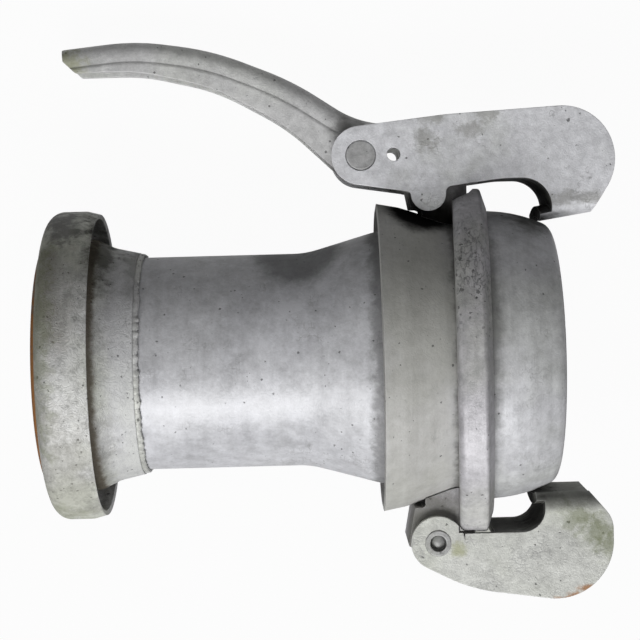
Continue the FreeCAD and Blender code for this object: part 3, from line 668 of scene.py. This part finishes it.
# %% [markdown]
# The ring and the lugs welded to it share one zinc, a touch violet beside the rest. On its flat, towards the
# lever, the ring is peppered with dark pits and scribbles, where grit gets between it and the skirt. The
# lugs have only a few. The lever lug is painted black with painted shade under the lever hook, with a
# softer patch of painted shade beside it, and the counter lug is darker, with an olive cast, behind its
# hook.

# %% Ring and lugs
PEPPERED = ((272.0, 56.0, 92.0), (26.0, 60.0, 90.0))


def ring_zinc(name):
    """The zinc of the ring and of what is welded to it."""
    return Finish(
        name,
        Light=grey(0.60, VIOLET),
        Dark=grey(0.35, VIOLET),
        Cast=grey(1.0, (0.97, 0.99, 0.92)),
        Cloud_Scale=34.0,
        Contrast=1.0,
        Streaks=0.4,
        Wrinkles=0.5,
    )


ring = ring_zinc("zinc on the ring")
ring.pits(430.0, 0.2)
ring.pits(210.0, 0.5, size=1.1, color=grey(0.05), strength=0.65, where=PEPPERED)
ring.pits(330.0, 0.4, size=1.3, color=grey(0.05), strength=0.6, where=PEPPERED)
ring.scratches(SCRIBBLE, 0.7, grey(0.05), 0.6, width=0.05, where=PEPPERED)
ring.scratches(AROUND, 0.5, grey(0.2), 0.4)
ring.scratches(ACROSS, 0.4, grey(0.2), 0.4, width=0.03)
ring_finish = ring.done(0.5)

lug = ring_zinc("zinc on the lugs")
lug.pits(400.0, 0.2)
# Painted shade: the lever lug goes black under the lever hook, and darker beside it.
lug.stain_and_shade((250.0, 82.0, 10.0), (90.0, 38.0, 120.0), PAINTED_SHADE_BLACK, 1.0, ragged=0.25, grain=60.0)
lug.stain_and_shade((262.0, 108.0, 24.0), (40.0, 30.0, 60.0), GRIME_AND_PAINTED_SHADE, 0.5, ragged=0.8)
lug.stain_and_shade((246.0, -112.0, 26.0), (56.0, 46.0, 70.0), grey(0.16, OLIVE_DIRT), 0.75, ragged=0.4)
lug_finish = lug.done(0.5)

# %% [markdown]
# The hooks are cut and bent from sheet. The lever hook is the palest piece of all, with a few dark spots.
# The counter hook is duller: algae grows at its outer end, moss beside its pin, and rust runs along its
# lower edge. The throats of both are darker, and so is the lever hook's nose. Most of it is laid on the
# cut edges only, so that it doesn't spread over the flat sides. One function makes the zinc that both have
# in common.

# %% Hooks
HOOK_SIDE = 34.0
HOOK_DARK_SHARE = 0.62


def hook_zinc(name, light, tint):
    zinc = Finish(
        name,
        Light=grey(light, tint),
        Dark=grey(light * HOOK_DARK_SHARE, tint),
        Cast=grey(1.0, (0.96, 0.97, 0.93)),
        Cloud_Scale=34.0,
        Contrast=0.85,
        Streaks=0.1,
        Wrinkles=0.4,
    )
    zinc.pits(430.0, 0.08)
    zinc.pits(190.0, 0.06, size=0.7)
    zinc.scratches(ACROSS, 0.4, grey(0.25), 0.4, width=0.03)
    zinc.scratches(ALONG_HOOK, 0.35, grey(0.3), 0.4, width=0.03)
    return zinc


top_hook = hook_zinc("zinc on the lever hook", 0.94, COOL)
dark_spot = grey(0.26, OLIVE_DIRT)
for x, u in ((252.9, 155.5), (288.4, 157.0), (277.0, 147.0), (249.0, 141.0)):
    top_hook.stain_and_shade((x, u, HOOK_SIDE), (11.0, 8.0, 30.0), dark_spot, 0.5, ragged=1.2, grain=140.0)
top_hook.cut_edge((290.0, 113.0, 0.0), (80.0, 26.0, 90.0), THROAT, 0.75, ragged=0.4)
top_hook.cut_edge((324.0, 102.0, 0.0), (22.0, 32.0, 90.0), THROAT, 0.95, ragged=0.3)
top_hook.cut_edge((222.0, 108.0, 0.0), (70.0, 24.0, 90.0), THROAT, 0.7, ragged=0.5)
top_hook.stain_and_shade((322.0, 88.0, -10.0), (16.0, 16.0, 60.0), THROAT, 0.8, ragged=0.5)
edge_dirt = grey(0.25, OLIVE_DIRT)
top_hook.stain_and_shade((346.0, 101.0, 35.0), (40.0, 6.0, 40.0), edge_dirt, 0.45, ragged=1.2, grain=130.0)
hook_finish = top_hook.done(0.7)

low_hook = hook_zinc("zinc on the counter hook", 0.72, (0.99, 1.0, 0.95))
for x, u in ((341.0, -105.0), (353.0, -114.0), (363.0, -124.0)):
    low_hook.stain_and_shade((x, u, HOOK_SIDE), (15.0, 12.0, 60.0), ALGAE, 0.55, ragged=1.1, grain=120.0)
low_hook.stain_and_shade((264.0, -123.5, HOOK_SIDE), (7.0, 6.5, 40.0), MOSS, 0.6, ragged=0.9, grain=200.0)
low_hook.stain_and_shade((332.0, -93.0, HOOK_SIDE), (60.0, 9.0, 90.0), THROAT, 0.55, ragged=0.3, grain=50.0)
low_hook.cut_edge((290.0, -112.0, 0.0), (60.0, 22.0, 90.0), THROAT, 0.8, ragged=0.3)
low_hook.cut_edge((319.0, -102.0, 0.0), (22.0, 26.0, 90.0), THROAT, 0.85, ragged=0.3)
low_hook.cut_edge((343.0, -150.0, 0.0), (30.0, 18.0, 90.0), RUST, 1.0, ragged=0.5)
for x, u in ((333.0, -158.6), (341.0, -155.8), (348.5, -151.0)):
    low_hook.stain_and_shade((x, u, HOOK_SIDE), (11.0, 3.8, 30.0), RUST, 0.8, ragged=0.8, grain=150.0)
counter_finish = low_hook.done(0.7)

# %% [markdown]
# The lever is pressed from sheet too, and rubbed by hands, so it is greyer than its hook and has long
# scratches. A little moss grows at its tip, and old grime darkens its root round the hook's pin. A smaller
# patch at the upper side of the hook's round end is painted shade.

# %% Lever
lever_zinc = Finish(
    "rubbed zinc on the lever",
    Light=grey(0.80),
    Dark=grey(0.52),
    Cast=grey(1.0, (0.98, 0.99, 0.96)),
    Cloud_Scale=30.0,
    Contrast=0.95,
    Streaks=0.1,
    Wrinkles=0.6,
)
lever_zinc.pits(420.0, 0.15)
lever_zinc.pits(200.0, 0.08, size=0.7)
lever_zinc.scratches(ALONG, 0.45, grey(0.22), 0.4)
lever_zinc.stain_and_shade((19.0, 197.0, 16.0), (16.0, 15.0, 30.0), MOSS, 0.55, ragged=1.1, grain=160.0)
lever_zinc.stain_and_shade((206.0, 118.0, 0.0), (40.0, 26.0, 90.0), GRIME_AND_PAINTED_SHADE, 0.55, ragged=0.6)
# Painted shade at the upper side of the hook's round end.
lever_zinc.stain_and_shade((198.0, 149.0, 20.0), (17.0, 15.0, 40.0), GRIME_AND_PAINTED_SHADE, 0.6, ragged=0.6)
lever_finish = lever_zinc.done(0.5)

# %% [markdown]
# The pins turn and rub, so their zinc is thin and dark, with more bare steel in it. The welds were dipped
# with the rest, but zinc takes badly on them, and they are full of pits.

# %% Pins and welds
PIN_ZINC = {"Light": grey(0.52), "Dark": grey(0.28), "Cast": grey(1.0, OLIVE)}
pin_steel = Finish("worn pin", metallic=0.25, Cloud_Scale=60.0, Contrast=1.0, Wrinkles=0.3, **PIN_ZINC)
pin_steel.pits(420.0, 0.2)
pin_finish = pin_steel.done(0.35)

WELD_ZINC = {"Light": grey(0.64), "Dark": grey(0.32), "Cast": grey(1.0, OLIVE)}
weld = Finish("zinc on the welds", Cloud_Scale=50.0, Contrast=1.1, Wrinkles=0.8, **WELD_ZINC)
weld.pits(330.0, 0.4, size=1.2)
weld_finish = weld.done(0.4)

# %% [markdown]
# The seal is the only soft piece: old rubber, stained brown by rusty water. The zinc's recipe serves for it
# too, with no metal, dark colours, a bloom of rust and no worn edges.

# %% Seal
RUBBER = {"Light": (0.11, 0.07, 0.045, 1), "Dark": (0.03, 0.025, 0.02, 1), "Cast": grey(1.0)}
seal = Finish("aged rubber", metallic=0.0, Cloud_Scale=60.0, Contrast=1.0, Wrinkles=0.2, **RUBBER)
seal.stain_and_shade((0.0, -10.0, 75.0), (14.0, 120.0, 60.0), RUST, 0.7, ragged=1.2, grain=110.0)
seal_finish = seal.done(0.3, wear=0.0)

# %% [markdown]
# Every node of the frame gets one finish. Pieces that were made alike share one: all beads have the zinc of
# the welds, the lugs one zinc, and the three pins are worn alike.

# %% Dress the frame
DRESS = {
    "reducer_tube": tube_finish,
    "female_bell": bell_finish,
    "seal_ring": seal_finish,
    "male_ball": ball_finish,
    "bell_weld": weld_finish,
    "ball_weld": weld_finish,
    "neck_weld": weld_finish,
    "closure_ring": ring_finish,
    "lever_lug": lug_finish,
    "counter_lug": lug_finish,
    "lever_lug_welds": weld_finish,
    "counter_lug_welds": weld_finish,
    "lever_hook": hook_finish,
    "counter_hook": counter_finish,
    "lever": lever_finish,
    "lever_pin": pin_finish,
    "hook_pin": pin_finish,
    "counter_pin": pin_finish,
}
for node, finish in DRESS.items():
    mesh = frame["nodes"][node].data
    mesh.materials.clear()
    mesh.materials.append(finish)
print("dressed", len(DRESS), "nodes in", len(set(DRESS.values())), "finishes")

# %% [markdown]
# A weld laid by hand is a row of overlapping ripples, one for each pause of the rod. The frame holds each
# weld as a smooth bead. A bump map could fake the ripples, but they show in the outline of the bead. So
# Geometry Nodes lay them over it: a line is cut into even steps, and a small flat ball goes on each, turned
# along the line, with its size and place a little uneven. A fixed seed gives the same weld every time.

# %% Weld ripples tree
RIPPLE_INPUTS = {
    "Geometry": ("Geometry", None),
    "Spacing": ("Float", 1.9 * MM),
    "Width": ("Float", 2.4 * MM),
    "Height": ("Float", 1.1 * MM),
    "Length": ("Float", 2.2 * MM),
    "Unevenness": ("Float", 0.2),
    "Wander": ("Float", 0.4 * MM),
    "Seed": ("Int", 1),
    "Finish": ("Material", None),
}
RIPPLE_BALL = {"Segments": 8, "Rings": 5, "Radius": 1.0}
RANDOM_SOCKETS = {"FLOAT_VECTOR": (0, 1, 0), "FLOAT": (2, 3, 1)}
RANDOM_SEED = 8


def random_value(tree, kind, low, high, seed):
    """A random number or vector for each element, with its limits and its seed."""
    low_socket, high_socket, result = RANDOM_SOCKETS[kind]
    inputs = {low_socket: low, high_socket: high, RANDOM_SEED: seed}
    return add(tree, "FunctionNodeRandomValue", inputs, data_type=kind).outputs[result]


def make_ripple_tree():
    outputs = {"Geometry": "Geometry"}
    tree, given, out = node_group("weld ripples", "GeometryNodeTree", RIPPLE_INPUTS, outputs)
    line = add(tree, "GeometryNodeMeshToCurve", {"Mesh": given["Geometry"]}).outputs[0]
    cut = {"Curve": line, "Length": given["Spacing"]}
    steps = add(tree, "GeometryNodeCurveToPoints", cut, mode="LENGTH").outputs
    turn = add(
        tree,
        "FunctionNodeAxesToRotation",
        {"Primary Axis": steps["Tangent"], "Secondary Axis": PIPE_AXIS},
        primary_axis="Z",
        secondary_axis="X",
    )
    back = calc(tree, "MULTIPLY", given["Wander"], -1.0)
    low = add(tree, "ShaderNodeCombineXYZ", {0: back}).outputs[0]
    high = add(tree, "ShaderNodeCombineXYZ", {0: given["Wander"]}).outputs[0]
    wander = random_value(tree, "FLOAT_VECTOR", low, high, given["Seed"])
    moved = add(tree, "GeometryNodeSetPosition", {"Geometry": steps["Points"], "Offset": wander})
    smallest = calc(tree, "SUBTRACT", 1.0, given["Unevenness"])
    largest = calc(tree, "ADD", 1.0, given["Unevenness"])
    size = random_value(tree, "FLOAT", smallest, largest, given["Seed"])
    sides = {0: given["Width"], 1: given["Height"], 2: given["Length"]}
    shape = add(tree, "ShaderNodeCombineXYZ", sides).outputs[0]
    copies = add(
        tree,
        "GeometryNodeInstanceOnPoints",
        {
            "Points": moved.outputs[0],
            "Instance": add(tree, "GeometryNodeMeshUVSphere", RIPPLE_BALL).outputs[0],
            "Rotation": turn.outputs[0],
            "Scale": vector_calc(tree, "SCALE", shape, scale=size),
        },
    )
    real = add(tree, "GeometryNodeRealizeInstances", {0: copies.outputs[0]})
    smooth = add(tree, "GeometryNodeSetShadeSmooth", {0: real.outputs[0]}).outputs[0]
    painted = add(tree, "GeometryNodeSetMaterial", {"Geometry": smooth, "Material": given["Finish"]})
    tree.links.new(painted.outputs[0], out["Geometry"])
    return tree


ripples = make_ripple_tree()
print("ripple tree:", len(ripples.nodes), "nodes")

# %% [markdown]
# The tree now runs on a line along each bead: three closed ones round the pipe, and two straight ones where
# the legs of each lug stand on the ring. A modifier is only a recipe, so its result is turned into a plain
# mesh before it is told which body it rides on. The lines are given in millimetres: for a bead round the
# pipe its place along the pipe and its distance from the axis, for a lug where its beads start and end, and
# how far each lies from the lever's plane.

# %% Weld ripples on each bead
CIRCLE_STEPS = 180
ROUND_BEADS = {
    "bell_weld_ripples": (61.9, 71.3, {"Width": 2.8 * MM, "Seed": 3}),
    "neck_weld_ripples": (258.8, 86.0, {"Width": 3.0 * MM, "Seed": 5}),
    "ball_weld_ripples": (269.4, 82.8, {"Seed": 7}),
}
LUG_BEAD_X = 265.6
LUG_BEADS = {"lever_lug_ripples": (93.0, 100.0, 17.8), "counter_lug_ripples": (-107.0, -100.0, 22.9)}
LUG_RIPPLES = {"Width": 1.7 * MM, "Height": 1.7 * MM, "Seed": 9}


def ring_line(x, radius):
    """The points and edges of a closed line round the pipe."""
    turns = [2 * math.pi * i / CIRCLE_STEPS for i in range(CIRCLE_STEPS)]
    points = [place(x, radius * math.cos(turn), radius * math.sin(turn)) for turn in turns]
    return points, [(i, (i + 1) % CIRCLE_STEPS) for i in range(CIRCLE_STEPS)]


def grow(name, points, edges, changes, body):
    """Runs the ripple tree on a line, keeps the result as a plain mesh, and lets it ride."""
    start = bpy.data.meshes.new(name + "_start")
    start.from_pydata(points, edges, [])
    piece = bpy.data.objects.new(name, start)
    bpy.context.scene.collection.objects.link(piece)
    modifier = piece.modifiers.new(name, "NODES")
    modifier.node_group = ripples
    values = {**changes, "Finish": weld_finish}
    for socket in ripples.interface.items_tree:
        if socket.in_out == "INPUT" and socket.name in values:
            modifier[socket.identifier] = values[socket.name]
    evaluated = piece.evaluated_get(bpy.context.evaluated_depsgraph_get())
    grown = bpy.data.meshes.new_from_object(evaluated)
    piece.modifiers.clear()
    piece.data = grown
    grown.name = name
    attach(piece, body)
    print(name, "has", len(grown.polygons), "faces")


for name, (x, radius, changes) in ROUND_BEADS.items():
    points, edges = ring_line(x, radius)
    grow(name, points, edges, changes, "pipe")
for name, (low, high, side) in LUG_BEADS.items():
    points = [place(LUG_BEAD_X, u, v) for v in (-side, side) for u in (low, high)]
    grow(name, points, [(0, 1), (2, 3)], LUG_RIPPLES, "ring")

# %% [markdown]
# The floor is a large pale sheet. The part rests on its collar, its ring and the side of its lever, and the
# frame is already rolled so that the lever's side comes down level with the other two. So the slope from the
# collar to the ring is all that the sheet needs.

# %% Floor
FLOOR_HALF = 3.0


def lowest(node):
    """The lowest vertex of a node."""
    points = [vertex.co for vertex in frame["nodes"][node].data.vertices]
    return min(points, key=lambda point: point.z)


collar = lowest("female_bell")
rim = lowest("closure_ring")
tilt = math.atan((rim.z - collar.z) / (rim.x - collar.x))
corners = [(x * FLOOR_HALF, y * FLOOR_HALF, 0) for x, y in ((-1, -1), (1, -1), (1, 1), (-1, 1))]
floor_mesh = bpy.data.meshes.new("floor")
floor_mesh.from_pydata(corners, [], [(0, 1, 2, 3)])
floor_mesh.transform(Matrix.Translation(collar) @ Matrix.Rotation(-tilt, 4, "Y"))
floor = bpy.data.objects.new("floor", floor_mesh)
bpy.context.scene.collection.objects.link(floor)
print("floor tilted by", round(math.degrees(tilt), 2), "degrees")

# %% [markdown]
# The photograph has a white ground with hardly a shadow. A bright lamp on a white floor would give that too,
# but it would also flood the part from below. So the floor glows for the camera only, with a faint shadow
# left in it. The gloss of the metal sees less than half of that white, and all other light finds a grey.

# %% Floor finish
GLOSS_SHARE = 0.45
FLOOR_GLOW = 0.96


def seen_white(tree):
    """How much of the white a ray sees: all for the camera, a share for the gloss."""
    path = add(tree, "ShaderNodeLightPath").outputs
    plain = calc(tree, "MAXIMUM", path["Is Camera Ray"], path["Is Transmission Ray"])
    return calc(tree, "MAXIMUM", plain, calc(tree, "MULTIPLY", path["Is Glossy Ray"], GLOSS_SHARE))


floor_finish = bpy.data.materials.new("pale floor")
floor_finish.use_nodes = True
tree = floor_finish.node_tree
tree.nodes.clear()
paint = add(tree, "ShaderNodeBsdfDiffuse", {"Color": grey(0.4)})
glow = add(tree, "ShaderNodeEmission", {"Color": grey(1.0), "Strength": 1.0})
share = calc(tree, "MULTIPLY", seen_white(tree), FLOOR_GLOW)
mixed = add(tree, "ShaderNodeMixShader", {0: share, 1: paint.outputs[0], 2: glow.outputs[0]})
add(tree, "ShaderNodeOutputMaterial", {"Surface": mixed.outputs[0]})
floor_mesh.materials.append(floor_finish)

# %% [markdown]
# Soft studio light: one large panel from the side where the photograph has its highlight, a weaker one from
# the other side, and a plain sky. The sky is white for the camera, about half as bright for the metal's
# gloss, and a dark grey for everything else, so it doesn't wash the form out.

# %% Light
PART_MIDDLE = place(190.0, 0.0)
SKY_GREY = 0.07


def panel(name, direction, distance, size, power):
    """A soft rectangular light that shines at the middle of the part."""
    data = bpy.data.lights.new(name, "AREA")
    data.shape = "RECTANGLE"
    data.size = size[0]
    data.size_y = size[1]
    data.energy = power
    lamp = bpy.data.objects.new(name, data)
    aim = direction.normalized()
    lamp.location = PART_MIDDLE + aim * distance
    lamp.rotation_euler = aim.to_track_quat("Z", "Y").to_euler()
    bpy.context.scene.collection.objects.link(lamp)


key_side = PIN_AXIS * 0.69 - LEVER_SIDE * 0.71 - PIPE_AXIS * 0.12
fill_side = PIN_AXIS * 0.9 + LEVER_SIDE * 0.35 + PIPE_AXIS * 0.1
panel("key", key_side, distance=1.6, size=(1.3, 0.7), power=25.0)
panel("fill", fill_side, distance=1.8, size=(1.5, 1.2), power=1.5)

sky = bpy.data.worlds.new("sky")
bpy.context.scene.world = sky
sky.use_nodes = True
tree = sky.node_tree
tree.nodes.clear()
strength = calc(tree, "MULTIPLY_ADD", seen_white(tree), 1.0 - SKY_GREY, SKY_GREY)
shine = add(tree, "ShaderNodeBackground", {"Color": grey(1.0), "Strength": strength})
add(tree, "ShaderNodeOutputWorld", {"Surface": shine.outputs[0]})
bpy.context.scene.view_settings.view_transform = "Standard"
print("lights: key, fill and sky")
